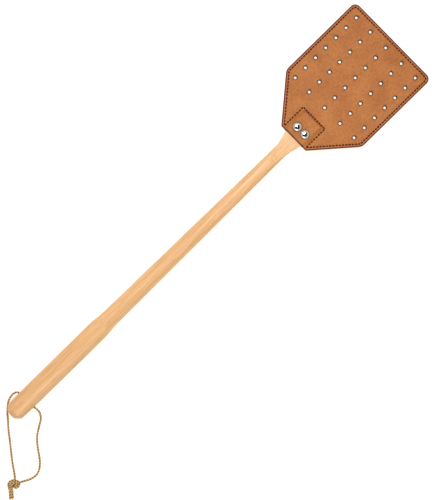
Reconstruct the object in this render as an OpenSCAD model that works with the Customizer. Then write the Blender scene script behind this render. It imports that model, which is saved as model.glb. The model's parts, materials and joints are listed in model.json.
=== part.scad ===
// Fly swatter: a perforated double leather blade, sewn and riveted to a turned wooden handle,
// with a twisted cord loop through the grip.
// The blade bends along hinge lines that lie between its rows of holes.
// X runs from the grip to the blade, Z is up, and the grip rests on Z = 0.

/* [Blade] */
// Length of the blade, from its neck edge to its far edge
blade_length = 136; // [134:1:170]
// Width of the blade
blade_width = 105.4; // [98:0.2:140]
// Width of the neck edge, where the handle goes in
neck_width = 34; // [34:0.5:42]
// Length of the slanted corners beside the neck
chamfer_length = 41.8; // [30:0.2:60]
// Radius of the two far corners
corner_radius = 6; // [4:0.5:12]
// Thickness of one leather sheet
leather_t = 2; // [1.6:0.1:2.6]

/* [Air holes] */
// Diameter of an air hole
hole_d = 4; // [2:0.5:5]
// Number of rows of holes along the blade
hole_rows = 7; // [3:1:7]
// Distance between two rows
row_pitch = 13.9; // [11:0.1:14.5]
// Distance from the neck edge to the first row
first_row = 42.5; // [38:0.5:44]
// Distance from the middle to the inner columns
inner_column = 21.5; // [15:0.5:30]
// Distance from the middle to the outer columns
outer_column = 41; // [34:0.5:43]

/* [Seam] */
// Distance from the edge of the leather to the seam
seam_margin = 2.9; // [2.2:0.1:3.5]
// Width of the sewn pocket that holds the tongue
pocket_width = 30; // [29:0.5:32]
// Length of the sewn pocket
pocket_length = 28; // [27.5:0.5:32]
// Thickness of the thread
thread_d = 0.7; // [0.5:0.05:0.8]
// Height of the thread above the leather
thread_proud = 0.25; // [0.1:0.05:0.3]

/* [Flex] */
// Clearance between two strips of the blade at a hinge line
flex_gap = 0.3; // [0.25:0.05:0.4]
// Width of the notch at a hinge line, in the surface of the leather
flex_notch = 1.2; // [1.1:0.1:1.8]

/* [Handle] */
// Length of the handle outside the leather
handle_length = 385; // [320:1:470]
// Diameter of the grip
grip_d = 20.5; // [17:0.5:25]
// Length of the grip, with its bevelled end
grip_length = 115; // [95:1:145]
// Length of the shoulder that ends the grip
shoulder_length = 23; // [10:1:25]
// Diameter of the shaft at the shoulder
shaft_d = 17.6; // [14:0.1:18.4]
// Diameter of the waist before the flared neck
waist_d = 13.6; // [11:0.1:14.5]
// Length of the bevel at the grip's end
bevel_length = 5; // [3:0.5:9]
// Depth of the bevel at the grip's end
bevel_depth = 5; // [3:0.5:6.5]
// Diameter of the hole across the grip for the cord
cord_hole_d = 4; // [3.6:0.1:4.5]
// Distance from the grip's end to the cord's hole
cord_hole_at = 20.5; // [19.5:0.5:21.5]

/* [Tongue and rivets] */
// Width of the tongue between the sheets
tongue_width = 19.5; // [18:0.5:23.5]
// Thickness of the tongue
tongue_t = 4.5; // [3.6:0.1:5.5]
// Length of the tongue inside the leather
tongue_length = 25; // [22:0.5:25.5]
// Diameter of a rivet's cap
cap_d = 9; // [7:0.5:9.5]
// Height of a rivet's cap
cap_h = 2.2; // [1.6:0.1:3]
// Diameter of a rivet's post
post_d = 3; // [2.4:0.1:3.6]
// Distance between the two rivets
rivet_spacing = 10.3; // [9.6:0.1:11]
// Distance from the neck edge to the rivets
rivet_at = 10.2; // [8:0.2:13]

/* [Cord] */
// Diameter of the twisted cord
cord_d = 2.2; // [1.8:0.1:2.4]
// Radius of the knot
knot_r = 3.6; // [3:0.1:4]

/* [Hidden] */
STRIPS = [for (i = [1:hole_rows]) i];
$fn = 96;

over = 1;                       // how far a cut runs past a face
seat_gap = 0.05;                // clearance round a piece in its seat
pass_gap = 0.1;                 // clearance round a post in the holes it goes through
cap_rim = 0.4;                  // height of the straight rim of a rivet's cap
post_seat = 1.1;                // depth of the post inside the cap
pocket_slope = 1.9;             // how far the pocket's side walls lean in
pocket_end_slope = 1.2;         // how far the pocket's end wall leans in
pocket_side_room = 0.2;         // room between the tongue's sides and the pocket
pocket_wall = 0.8;              // offset of the pocket's outside from its inside
tongue_corner = 5;              // radius of the tongue's corners
flare_length = 20;              // length of the flared neck
flare_past_edge = 2;            // how far the flare goes on inside the leather
waist_length = 10;              // length of the straight waist
mill_length = 33;               // length of the run-out of the milled flats
mill_end_gap = 2;               // distance from the run-out's end to the leather
mill_entry = 0.3;               // height at which the cutter meets the waist
bevel_ease = 0.7;               // softening of the bevel's two edges
knuckle_relief = 0.05;          // how much a knuckle is thinner than the leather
turned_steps = 8;               // segments along a turned curve
corner_steps = 6;               // segments round a corner

overall_length = handle_length + blade_length;
grip_x = -overall_length / 2;
neck_x = grip_x + handle_length;
mid_z = grip_d / 2;
waist_end = handle_length + flare_past_edge - flare_length;
waist_start = waist_end - waist_length;
mill_end = handle_length - mill_end_gap;
mill_start = mill_end - mill_length;
tongue_end = handle_length + tongue_length;
knuckle_r = leather_t - knuckle_relief;
socket_r = knuckle_r + flex_gap;
pocket_inner_h = tongue_t / 2 + seat_gap;
pocket_inner_top = tongue_width / 2 + pocket_side_room;
pocket_outer_h = pocket_inner_h + leather_t;
pocket_inner_end = tongue_length + pocket_side_room;
chamfer_slope = (blade_width - neck_width) / 2 / chamfer_length;
chamfer_stretch = sqrt(1 + chamfer_slope * chamfer_slope);
thread_seat = thread_d - thread_proud;

// The hinge line before strip i lies half-way between two rows of holes.
function hinge_x(i) = neck_x + first_row + (i - 1.5) * row_pitch;
function row_x(i) = neck_x + first_row + (i - 1) * row_pitch;

// A smooth step from 0 to 1.
function ease(t) = t * t * (3 - 2 * t);

// The cord's centre line, from the knot up the left leg, through the grip's hole and down the
// right leg: distance from the grip's end, distance to the left, and height.
cord_route = [
    [-45.2, -49.7, 3], [-42.5, -46.9, 1.6], [-40.1, -43.1, 1.2], [-34.2, -34.4, 1.2],
    [-28.1, -26.4, 1.2], [-21.1, -17.4, 1.2], [-14.2, -8.4, 1.2], [-7.6, -0.9, 1.7],
    [-3.5, 3.8, 2.6], [0.8, 7.7, 4], [5.2, 11, 5.9], [10, 12.9, 7.7], [14.8, 13.6, 9.2],
    [19, 12.1, 10], [20.8, 8.5, 10.25], [20.6, 3, 10.25], [20.5, -3, 10.25], [20.6, -8.3, 10.25],
    [21.2, -12.1, 9.8], [21.1, -15.9, 8.1], [19.4, -19.7, 5.9], [16.3, -23, 4], [11.6, -25.9, 2.4],
    [5.8, -29.4, 1.5], [0.6, -33.3, 1.2], [-4.1, -38.6, 1.2], [-8.4, -44.5, 1.2],
    [-12.8, -50.8, 1.2], [-18.2, -56, 1.2], [-23.9, -58.8, 1.2], [-29.9, -58.6, 1.2],
    [-36.3, -56.1, 1.2], [-41.3, -54, 1.7], [-44.8, -52.1, 3]
];
tail_routes = [
    [[-47.7, -48.9, 2.6], [-51.6, -50.7, 1.4], [-55.5, -54.2, 1.2], [-59.5, -57.8, 1.2]],
    [[-47.7, -51.7, 2.6], [-51.2, -53.6, 1.4], [-54.1, -56.6, 1.2], [-57.5, -60.2, 1.2]]
];
knot_ends = [[-47.1, -47.4, 3.6], [-46.5, -52.8, 3.6]];
cord_sides = 8;
cord_steps = 2;                 // rings from one route point to the next

// A point on the smooth curve through a route, t counted in route points.
function at(route, i) = route[max(0, min(len(route) - 1, i))];
function curve(route, t) =
    let (
        i = min(floor(t), len(route) - 2),
        f = t - i,
        a = at(route, i - 1),
        b = at(route, i),
        c = at(route, i + 1),
        d = at(route, i + 2)
    )
    b + f * (c - a) / 2 + f * f * (a - 2.5 * b + 2 * c - d / 2)
        + f * f * f * (1.5 * b - 1.5 * c + (d - a) / 2);

// The ring of points round the curve, at right angles to it.
function ring(route, t, r) =
    let (
        ahead = curve(route, t + 0.01),
        back = curve(route, t - 0.01),
        along = (ahead - back) / norm(ahead - back),
        flat = cross(along, [0, 0, 1]),
        side = flat / norm(flat),
        up = cross(side, along)
    )
    [for (k = [0:cord_sides - 1])
        curve(route, t) + r * (cos(360 * k / cord_sides) * side + sin(360 * k / cord_sides) * up)];

// A tube round a route.
module tube(route, d) {
    rings = (len(route) - 1) * cord_steps;
    points = [for (i = [0:rings]) each ring(route, i / cord_steps, d / 2)];
    n = cord_sides;
    walls = [for (i = [0:rings - 1], k = [0:n - 1])
        [i * n + k, (i + 1) * n + k, (i + 1) * n + (k + 1) % n, i * n + (k + 1) % n]];
    first_end = [for (k = [0:n - 1]) k];
    last_end = [for (k = [n - 1:-1:0]) rings * n + k];
    translate([grip_x, 0, 0])
        polyhedron(points, concat(walls, [first_end, last_end]), convexity = 10);
}

// Half of the blade's outline, moved in from its edges, from the neck to the far corner.
function half_outline(inset) =
    let (
        y_side = blade_width / 2 - inset,
        y_neck = neck_width / 2 - inset * chamfer_stretch,
        x_side = (y_side - y_neck) / chamfer_slope,
        x_far = blade_length - inset,
        r = corner_radius - inset
    )
    concat(
        [[0, y_neck], [x_side, y_side]],
        [for (k = [0:corner_steps])
            [x_far - r + r * sin(90 * k / corner_steps), y_side - r + r * cos(90 * k / corner_steps)]]
    );

module blade_outline(inset) {
    half = half_outline(inset);
    polygon(concat(half, [for (k = [len(half) - 1:-1:0]) [half[k][0], -half[k][1]]]));
}

// The area inside the seam: the blade less the pocket. grow moves the seam line outwards.
module seam_area(grow) {
    difference() {
        blade_outline(seam_margin - grow);
        translate([-over, -pocket_width / 2 + grow])
            square([pocket_length - grow + over, pocket_width - 2 * grow]);
    }
}

module seam_line(w) {
    difference() {
        seam_area(w / 2);
        seam_area(-w / 2);
    }
}

// The side view of one strip of the blade, with its knuckle and the socket for the next one.
// Strip 0 is the part at the neck, which doesn't bend.
module strip_profile(i) {
    x_start = i > 0 ? hinge_x(i) : neck_x - over;
    x_end = i < hole_rows ? hinge_x(i + 1) - flex_notch : neck_x + blade_length + over;
    difference() {
        union() {
            translate([x_start, -grip_d])
                square([x_end - x_start, 2 * grip_d]);
            if (i > 0)
                translate([x_start, 0])
                    circle(r = knuckle_r);
        }
        if (i < hole_rows)
            translate([hinge_x(i + 1), 0])
                circle(r = socket_r);
    }
}

module strip_space(i) {
    translate([0, blade_width, 0])
        rotate([90, 0, 0])
            linear_extrude(2 * blade_width)
                strip_profile(i);
}

// One half of the pocket that rises over the tongue: a wedge in both directions.
module pocket_wedge(x_from, x_end, end_slope, half_w, h_from, h) {
    intersection() {
        translate([x_from, 0, 0])
            rotate([90, 0, 90])
                linear_extrude(x_end + over - x_from)
                    polygon([[-half_w - pocket_slope, h_from], [half_w + pocket_slope, h_from],
                        [half_w, h], [-half_w, h]]);
        translate([0, blade_width / 2, 0])
            rotate([90, 0, 0])
                linear_extrude(blade_width)
                    polygon([[x_from, h_from], [x_end + end_slope, h_from], [x_end, h], [x_from, h]]);
    }
}

module air_holes(i) {
    for (y = [-outer_column, -inner_column, 0, inner_column, outer_column])
        translate([row_x(i), y, -over])
            cylinder(d = hole_d, h = leather_t + 2 * over);
}

module rivet_places() {
    for (side = [-1, 1])
        translate([neck_x + rivet_at, side * rivet_spacing / 2, 0])
            children();
}

// One strip of the upper sheet, on the plane between the two sheets.
module sheet_strip(i) {
    intersection() {
        difference() {
            translate([neck_x, 0, 0])
                linear_extrude(leather_t)
                    blade_outline(0);
            translate([neck_x, 0, leather_t - thread_seat])
                linear_extrude(thread_d)
                    seam_line(thread_d + 2 * seat_gap);
            air_holes(i);
        }
        strip_space(i);
    }
}

// The neck of the upper sheet, with the raised pocket.
module sheet_neck() {
    difference() {
        union() {
            intersection() {
                difference() {
                    translate([neck_x, 0, 0])
                        linear_extrude(leather_t)
                            blade_outline(0);
                    translate([neck_x, 0, leather_t - thread_seat])
                        linear_extrude(thread_d)
                            seam_line(thread_d + 2 * seat_gap);
                }
                strip_space(0);
            }
            translate([neck_x, 0, 0])
                pocket_wedge(0, pocket_inner_end + pocket_wall, pocket_end_slope,
                    pocket_inner_top + pocket_wall, leather_t, pocket_outer_h);
        }
        translate([neck_x, 0, 0])
            pocket_wedge(-over, pocket_inner_end, pocket_end_slope, pocket_inner_top, 0, pocket_inner_h);
        rivet_places()
            translate([0, 0, pocket_inner_h - over])
                cylinder(d = post_d + 2 * pass_gap, h = leather_t + 2 * over);
    }
}

// The thread of the upper sheet along strip i.
module thread_strip(i) {
    intersection() {
        translate([neck_x, 0, leather_t - thread_seat])
            linear_extrude(thread_d)
                seam_line(thread_d);
        strip_space(i);
    }
}

module on_front() {
    translate([0, 0, mid_z])
        children();
}

module on_back() {
    translate([0, 0, mid_z])
        mirror([0, 0, 1])
            children();
}

module front_sheet(i) {
    color("peru")
        on_front()
            sheet_strip(i);
}

module back_sheet(i) {
    color("chocolate")
        on_back()
            sheet_strip(i);
}

module front_sheet_neck() {
    color("peru")
        on_front()
            sheet_neck();
}

module back_sheet_neck() {
    color("chocolate")
        on_back()
            sheet_neck();
}

module front_thread(i) {
    color("maroon")
        on_front()
            thread_strip(i);
}

module back_thread(i) {
    color("maroon")
        on_back()
            thread_strip(i);
}

// The turned outline of the handle, radius against distance from the grip's end.
function bevel_points() = [
    [0, 0],
    [grip_d / 2 - bevel_depth, 0],
    [grip_d / 2 - bevel_depth + bevel_ease, bevel_ease / 2],
    [grip_d / 2 - bevel_ease / 2, bevel_length - bevel_ease],
    [grip_d / 2, bevel_length + bevel_ease]
];
function turned_curve(r_from, r_to, from, length) =
    [for (k = [0:turned_steps])
        [r_from + (r_to - r_from) * ease(k / turned_steps), from + length * k / turned_steps]];
function tongue_points() = concat(
    [for (k = [0:corner_steps])
        [tongue_width / 2 - tongue_corner + tongue_corner * cos(90 * k / corner_steps),
            tongue_end - tongue_corner + tongue_corner * sin(90 * k / corner_steps)]],
    [[0, tongue_end]]
);

// Half the thickness that the cutter leaves, at t from 0 to 1 along its run-out.
function milled_half(t) = tongue_t / 2 + (waist_d / 2 + mill_entry - tongue_t / 2) * (1 - t) * (1 - t);

module milled_cut() {
    run_out = [for (k = [0:turned_steps])
        [mill_start + mill_length * k / turned_steps, milled_half(k / turned_steps)]];
    translate([0, tongue_width, 0])
        rotate([90, 0, 0])
            linear_extrude(2 * tongue_width)
                polygon(concat(run_out, [[tongue_end + over, tongue_t / 2],
                    [tongue_end + over, tongue_width], [mill_start, tongue_width]]));
}

module handle() {
    color("burlywood")
        translate([grip_x, 0, mid_z])
            difference() {
                rotate([90, 0, 90])
                    rotate_extrude()
                        polygon(concat(
                            bevel_points(),
                            turned_curve(grip_d / 2, shaft_d / 2, grip_length, shoulder_length),
                            [[waist_d / 2, waist_start]],
                            turned_curve(waist_d / 2, tongue_width / 2, waist_end, flare_length),
                            tongue_points()
                        ));
                milled_cut();
                mirror([0, 0, 1])
                    milled_cut();
                translate([cord_hole_at, grip_d, 0])
                    rotate([90, 0, 0])
                        cylinder(d = cord_hole_d, h = 2 * grip_d);
                for (side = [-1, 1])
                    translate([handle_length + rivet_at, side * rivet_spacing / 2, -tongue_t])
                        cylinder(d = post_d + 2 * pass_gap, h = 2 * tongue_t);
            }
}

// A rivet's domed cap, standing on Z = 0.
module cap_dome() {
    dome_h = cap_h - cap_rim;
    dome_r = (cap_d * cap_d / 4 + dome_h * dome_h) / (2 * dome_h);
    intersection() {
        cylinder(d = cap_d, h = cap_h + over);
        translate([0, 0, cap_h - dome_r])
            sphere(r = dome_r);
    }
}

module at_rivet(side) {
    translate([neck_x + rivet_at, side * rivet_spacing / 2, mid_z])
        children();
}

module rivet_cap(side) {
    color("gainsboro")
        at_rivet(side)
            translate([0, 0, pocket_outer_h])
                difference() {
                    cap_dome();
                    translate([0, 0, -over])
                        cylinder(d = post_d + 2 * seat_gap, h = post_seat + seat_gap + over);
                }
}

module rivet_post(side) {
    color("silver")
        at_rivet(side)
            union() {
                translate([0, 0, -pocket_outer_h])
                    mirror([0, 0, 1])
                        cap_dome();
                translate([0, 0, -pocket_outer_h - cap_rim])
                    cylinder(d = post_d, h = 2 * pocket_outer_h + cap_rim + post_seat);
            }
}

module cord_loop() {
    color("tan")
        tube(cord_route, cord_d);
}

module cord_knot() {
    color("tan")
        translate([grip_x, 0, 0])
            hull()
                for (p = knot_ends)
                    translate(p)
                        sphere(r = knot_r, $fn = 32);
}

module cord_tails() {
    color("tan")
        for (route = tail_routes)
            tube(route, cord_d);
}

handle();
front_sheet_neck();
back_sheet_neck();
front_thread(0);  // front_thread_neck
back_thread(0);  // back_thread_neck
for (i = STRIPS) front_sheet(i);
for (i = STRIPS) back_sheet(i);
for (i = STRIPS) front_thread(i);
for (i = STRIPS) back_thread(i);
rivet_cap(1);  // rivet_cap_left
rivet_cap(-1);  // rivet_cap_right
rivet_post(1);  // rivet_post_left
rivet_post(-1);  // rivet_post_right
cord_loop();
cord_knot();
cord_tails();
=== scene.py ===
import bpy
import json
import math
import random
import numpy as np
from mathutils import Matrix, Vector, noise


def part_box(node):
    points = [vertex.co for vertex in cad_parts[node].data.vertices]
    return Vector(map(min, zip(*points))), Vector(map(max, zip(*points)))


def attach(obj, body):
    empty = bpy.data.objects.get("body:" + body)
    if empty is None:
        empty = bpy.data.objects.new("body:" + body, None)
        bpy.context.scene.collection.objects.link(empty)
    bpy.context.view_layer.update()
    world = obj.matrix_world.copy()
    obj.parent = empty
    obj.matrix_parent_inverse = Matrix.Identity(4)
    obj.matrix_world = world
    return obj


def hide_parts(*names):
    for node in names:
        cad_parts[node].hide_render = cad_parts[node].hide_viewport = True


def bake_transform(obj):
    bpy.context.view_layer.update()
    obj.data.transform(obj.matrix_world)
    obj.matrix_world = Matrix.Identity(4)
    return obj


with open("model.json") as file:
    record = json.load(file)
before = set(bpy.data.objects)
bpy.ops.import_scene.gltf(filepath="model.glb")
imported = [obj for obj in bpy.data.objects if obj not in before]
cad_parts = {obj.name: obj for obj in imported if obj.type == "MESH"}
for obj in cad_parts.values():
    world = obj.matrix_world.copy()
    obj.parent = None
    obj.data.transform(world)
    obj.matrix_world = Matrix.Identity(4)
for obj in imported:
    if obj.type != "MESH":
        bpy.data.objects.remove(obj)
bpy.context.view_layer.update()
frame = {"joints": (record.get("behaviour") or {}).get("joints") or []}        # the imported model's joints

mm = 0.001


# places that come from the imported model

def corners(node):
    low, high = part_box(node)
    return Vector(low) / mm, Vector(high) / mm


handleLow, handleHigh = corners("handle")
neckLow = corners("front_sheet_neck")[0]
farLow, farHigh = corners("front_sheet_7")
capLow, capHigh = corners("rivet_cap_left")
hinges = [joint["pos_m"][0] / mm for joint in frame["joints"]]

gripX = handleLow.x                      # the grip's end
neckX = neckLow.x                        # where the leather starts
farX = farHigh.x                         # the blade's far edge
halfWidth = farHigh.y
midZ = farLow.z                          # the plane between the two sheets
leatherT = farHigh.z - farLow.z
rowPitch = hinges[1] - hinges[0]
rows = [x + rowPitch / 2 for x in hinges]
zoneEdges = [hinges[0] - rowPitch / 2] + rows
gripD = handleHigh.z - handleLow.z
rivetX = (capLow.x + capHigh.x) / 2
rivetY = (capLow.y + capHigh.y) / 2
capBase = capLow.z
capD = capHigh.x - capLow.x
capH = capHigh.z - capLow.z


# small helpers

def deselectAll():
    if bpy.context.object and bpy.context.object.mode != "OBJECT":
        bpy.ops.object.mode_set(mode="OBJECT")
    bpy.ops.object.select_all(action="DESELECT")


def pick(*objects):
    deselectAll()
    for obj in objects:
        obj.select_set(True)
    bpy.context.view_layer.objects.active = objects[0]


def openMesh(obj):
    pick(obj)
    bpy.ops.object.mode_set(mode="EDIT")


def editAll(obj):
    openMesh(obj)
    bpy.ops.mesh.select_mode(type="FACE")
    bpy.ops.mesh.select_all(action="SELECT")


def objectMode():
    bpy.ops.object.mode_set(mode="OBJECT")


def clearSelection(obj, kind):
    editAll(obj)
    bpy.ops.mesh.select_mode(type=kind)
    bpy.ops.mesh.select_all(action="DESELECT")
    objectMode()


def bisectAll(place, direction, **more):
    bpy.ops.mesh.select_all(action="SELECT")
    bpy.ops.mesh.bisect(plane_co=place, plane_no=direction, **more)


def settle(obj):
    # place, turn and scale go into the mesh
    pick(obj)
    bpy.ops.object.transform_apply(location=True, rotation=True, scale=True)


def applyAll(obj):
    pick(obj)
    for modifier in list(obj.modifiers):
        bpy.ops.object.modifier_apply(modifier=modifier.name)


def nameIt(obj, name):
    obj.name = name
    obj.data.name = name
    return obj


def copyOf(obj, name):
    twin = obj.copy()
    twin.data = obj.data.copy()
    bpy.context.collection.objects.link(twin)
    return nameIt(twin, name)


def joinAll(objects, name):
    pick(*objects)
    if len(objects) > 1:
        bpy.ops.object.join()
    return nameIt(bpy.context.object, name)


def facesOut(obj, merge=0.00001):
    editAll(obj)
    bpy.ops.mesh.remove_doubles(threshold=merge)
    bpy.ops.mesh.normals_make_consistent(inside=False)
    objectMode()


def smoothBy(obj, degrees):
    pick(obj)
    bpy.ops.object.shade_smooth_by_angle(angle=math.radians(degrees))


def combine(obj, tool, operation="DIFFERENCE"):
    # the tool is used up
    change = obj.modifiers.new("change", "BOOLEAN")
    change.operation = operation
    change.solver = "EXACT"
    change.object = tool
    applyAll(obj)
    bpy.data.objects.remove(tool)


def softenEdges(obj, width, degrees):
    change = obj.modifiers.new("soften", "BEVEL")
    change.width = width * mm
    change.segments = 2
    change.limit_method = "ANGLE"
    change.angle_limit = math.radians(degrees)
    applyAll(obj)


def rod(radius, depth, x, y, z, sides=32, turn=(0, 0, 0)):
    # an upright cylinder unless it is turned, in mm
    bpy.ops.mesh.primitive_cylinder_add(vertices=sides, radius=radius * mm, depth=depth * mm,
                                        location=(x * mm, y * mm, z * mm), rotation=turn)
    obj = bpy.context.object
    settle(obj)
    return obj


def turned(outline, sides):
    # outline is radius and height in mm; a circle is extruded and resized ring by ring
    radius, height = outline[0]
    bpy.ops.mesh.primitive_circle_add(vertices=sides, radius=radius * mm, fill_type="NGON",
                                      location=(0, 0, height * mm))
    obj = bpy.context.object
    settle(obj)
    editAll(obj)
    for newRadius, newHeight in outline[1:]:
        bpy.ops.mesh.extrude_region_move(
            TRANSFORM_OT_translate={"value": (0, 0, (newHeight - height) * mm)})
        change = newRadius / radius
        bpy.ops.transform.resize(value=(change, change, 1), center_override=(0, 0, newHeight * mm))
        radius, height = newRadius, newHeight
    objectMode()
    facesOut(obj)
    return obj


def ease(t):
    t = min(max(t, 0), 1)
    return t * t * (3 - 2 * t)


def linear(hexColour):
    def channel(text):
        value = int(text, 16) / 255
        return value / 12.92 if value <= 0.04045 else ((value + 0.055) / 1.055) ** 2.4
    return tuple(channel(hexColour[i:i + 2]) for i in (1, 3, 5)) + (1.0,)


def wire(tree, node, inputs=None, links=None):
    for key, value in (inputs or {}).items():
        node.inputs[key].default_value = value
    for key, (source, output) in (links or {}).items():
        tree.links.new(source.outputs[output], node.inputs[key])


def addNode(tree, kind, settings=None, inputs=None, links=None):
    node = tree.nodes.new(kind)
    for key, value in (settings or {}).items():
        setattr(node, key, value)
    wire(tree, node, inputs, links)
    return node


def remap(tree, source, low, high, first, last):
    # low to high of the source becomes first to last
    return addNode(tree, "ShaderNodeMapRange", inputs={1: low, 2: high, 3: first, 4: last},
                   links={0: source})


def ramp(tree, source, *stops):
    node = addNode(tree, "ShaderNodeValToRGB", links={"Fac": source})
    for stop, (place, colour) in zip(node.color_ramp.elements, stops):
        stop.position = place
        stop.color = linear(colour)
    return node


def paint(tree, mask, colour, under):
    # the colour goes over what is under it, as far as the mask lets it
    return addNode(tree, "ShaderNodeMix", {"data_type": "RGBA"}, {"B": linear(colour)},
                   {"Factor": mask, "A": under})


def shaded(tree, colour, amount):
    return addNode(tree, "ShaderNodeVectorMath", {"operation": "SCALE"}, links={0: colour, "Scale": amount})


def pairOf(tree, operation, first, second):
    return addNode(tree, "ShaderNodeMath", {"operation": operation}, links={0: first, 1: second})


def noiseAt(tree, vector, scale, detail, roughness=0.5, distortion=0.0):
    inputs = {"Scale": scale, "Detail": detail, "Roughness": roughness, "Distortion": distortion}
    return addNode(tree, "ShaderNodeTexNoise", inputs=inputs, links={"Vector": vector})


def bumpFrom(tree, height, strength, depth):
    return addNode(tree, "ShaderNodeBump", inputs={"Strength": strength, "Distance": depth * mm},
                   links={"Height": height})


def newMaterial(name):
    material = bpy.data.materials.new(name)
    material.use_nodes = True
    tree = material.node_tree
    shader = tree.nodes["Principled BSDF"]
    return material, tree, shader


# camera, floor and lights

shot = {
    "lookAt": (-2.5, -27.95),   # mm, the point that the camera stands over
    "turn": -44.43,             # degrees, how the handle lies across the picture
    "frameHeight": 487.5,       # mm of the tabletop that the picture's height takes in
    "lens": 100,
    "sensor": 36,
}


def makeCamera():
    distance = shot["frameHeight"] * shot["lens"] / shot["sensor"]
    x, y = shot["lookAt"]
    bpy.ops.object.camera_add(location=(x * mm, y * mm, (midZ + distance) * mm),
                              rotation=(0, 0, math.radians(shot["turn"])))
    camera = bpy.context.object
    camera.name = "camera"
    camera.data.lens = shot["lens"]
    camera.data.sensor_width = shot["sensor"]
    bpy.context.scene.camera = camera


studio = {
    "floorSize": 6000,          # mm
    "floorColour": "#8E8E8C",
    "glowColour": "#FFFDF5",
    "floorGlow": 0.88,          # the table is lit from below, so the air holes show bright
    "skyLight": 0.6,
    "skyLow": 0.12,             # share of the sky's light that comes from just above the table
    "keyPower": 7.3,            # watts
    "keyPlace": (220, 255, 1000),
    "keySize": 340,
    "fillPower": 1.6,
    "fillPlace": (-420, -330, 820),
    "fillSize": 600,
    "darkCone": 0.88,           # cosine of the dark patch overhead, which gives polished metal its shape
    "darkShade": 0.05,
}


def makeStudio():
    bpy.ops.mesh.primitive_grid_add(x_subdivisions=4, y_subdivisions=4, size=studio["floorSize"] * mm,
                                    location=(0, 0, -0.05 * mm))
    floor = nameIt(bpy.context.object, "floor")
    material, tree, shader = newMaterial("lightTableAcrylic")
    wire(tree, shader, {"Base Color": linear(studio["floorColour"]), "Roughness": 0.7,
                        "Emission Color": linear(studio["glowColour"]),
                        "Emission Strength": studio["floorGlow"]})
    floor.data.materials.append(material)

    for name, where, size, power in (
            ("keyLight", studio["keyPlace"], studio["keySize"], studio["keyPower"]),
            ("fillLight", studio["fillPlace"], studio["fillSize"], studio["fillPower"])):
        bpy.ops.object.light_add(type="AREA", location=[value * mm for value in where])
        lamp = bpy.context.object
        lamp.name = name
        lamp.data.shape = "DISK"
        lamp.data.size = size * mm
        lamp.data.energy = power
        lamp.rotation_euler = (-Vector(where)).to_track_quat("-Z", "Y").to_euler()

    world = bpy.data.worlds.new("studioTent")
    bpy.context.scene.world = world
    world.use_nodes = True
    tree = world.node_tree
    sky = tree.nodes["Background"]
    sky.inputs["Strength"].default_value = studio["skyLight"]
    place = addNode(tree, "ShaderNodeTexCoord")
    split = addNode(tree, "ShaderNodeSeparateXYZ", links={0: (place, "Generated")})
    cone = studio["darkCone"]
    patch = remap(tree, (split, "Z"), cone, cone + 0.03, 1.0, studio["darkShade"])
    horizon = remap(tree, (split, "Z"), 0.0, 0.3, studio["skyLow"], 1.0)
    both = pairOf(tree, "MULTIPLY", (patch, 0), (horizon, 0))
    tree.links.new(both.outputs[0], sky.inputs["Color"])
    bpy.context.scene.view_settings.view_transform = "Standard"
    bpy.context.scene.view_settings.look = "None"


makeCamera()
makeStudio()
print("camera, table and lights are up")


# hanging cord: two-ply jute with an overhand knot

cordShape = {
    "diameter": 2.2,            # mm
    "plies": 2,
    "layLength": 5.4,           # mm for one full twist
    "plyRadius": 0.7,           # mm
    "plySides": 7,
    "ringEvery": 0.6,           # mm
    "hairs": 230,               # loose fibres that stand off the twine
    "hairLength": (0.9, 2.4),   # mm
    "slackTwist": 1.16,         # how much fatter the twine is in the knot and the tails
    "knotLift": 1.42,           # mm from the table to the middle of the twine in the knot and the tails
    "strandGap": 2.4,           # mm between the two strands in the knot
    "plySpread": 0.12,          # mm that the plies stand out past the diameter
    "hairRadii": (0.055, 0.045, 0.012),     # mm, from root to tip
    "tailLength": 9.5,          # mm
    "tailHairs": 26,
    "knotHairs": 22,
    "looseRings": 14,           # rings of each leg, before the knot, that may still be pushed
    "sharedRings": 5,           # rings of each leg that the knot's mesh also covers
    "smoothTurns": 60,          # rounds of smoothing where the two legs meet in the knot
    "smoothReach": (12, 10),    # rings before and after the meeting that are smoothed
}

# distance from the grip's end, distance to the left and height, in mm; left leg, then right leg,
# both from the middle of the grip's hole
leftLeg = [
    (20.5, -3, 10.25), (20.6, 3, 10.25), (20.8, 8.5, 10.25), (19, 12.1, 10), (14.8, 13.6, 9.2),
    (10, 12.9, 7.7), (5.2, 11, 5.9), (0.8, 7.7, 4), (-3.5, 3.8, 2.6), (-7.6, -0.9, 1.7),
    (-14.2, -8.4, 1.2), (-21.1, -17.4, 1.2), (-28.1, -26.4, 1.2), (-34.2, -34.4, 1.2),
    (-39.8, -42.7, 1.2),
]
rightLeg = [
    (20.6, 3, 10.25), (20.5, -3, 10.25), (20.6, -8.3, 10.25), (21.2, -12.1, 9.8), (21.1, -15.9, 8.1),
    (19.4, -19.7, 5.9), (16.3, -23, 4), (11.6, -25.9, 2.4), (5.8, -29.4, 1.5), (0.6, -33.3, 1.2),
    (-4.1, -38.6, 1.2), (-8.4, -44.5, 1.2), (-12.8, -50.8, 1.2), (-18.2, -56, 1.2), (-23.9, -58.8, 1.2),
    (-29.9, -58.6, 1.2), (-36, -56.3, 1.2),
]

# the overhand knot, that both strands follow side by side: across the picture, down it and height
# from the knot's middle, in mm
knotRoute = [
    (0.3, -2.2, 1.6), (-0.2, 0.6, 1.5), (0.8, 3.0, 1.8), (3.5, 2.6, 2.7), (4.6, -0.3, 4.0), (2.4, -2.6, 5.2),
    (-1.2, -2.4, 5.5), (-3.9, -0.6, 4.8), (-3.9, 2.2, 3.4), (-2.9, 5.4, 1.9), (-2.7, 9.5, 1.2),
    (-2.4, 15.6, 1.2),
]
knotPlace = (-47.1, -49.6)
knotDown = Vector((math.sin(math.radians(shot["turn"])), -math.cos(math.radians(shot["turn"]))))
knotAcross = Vector((-knotDown.y, knotDown.x))


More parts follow.
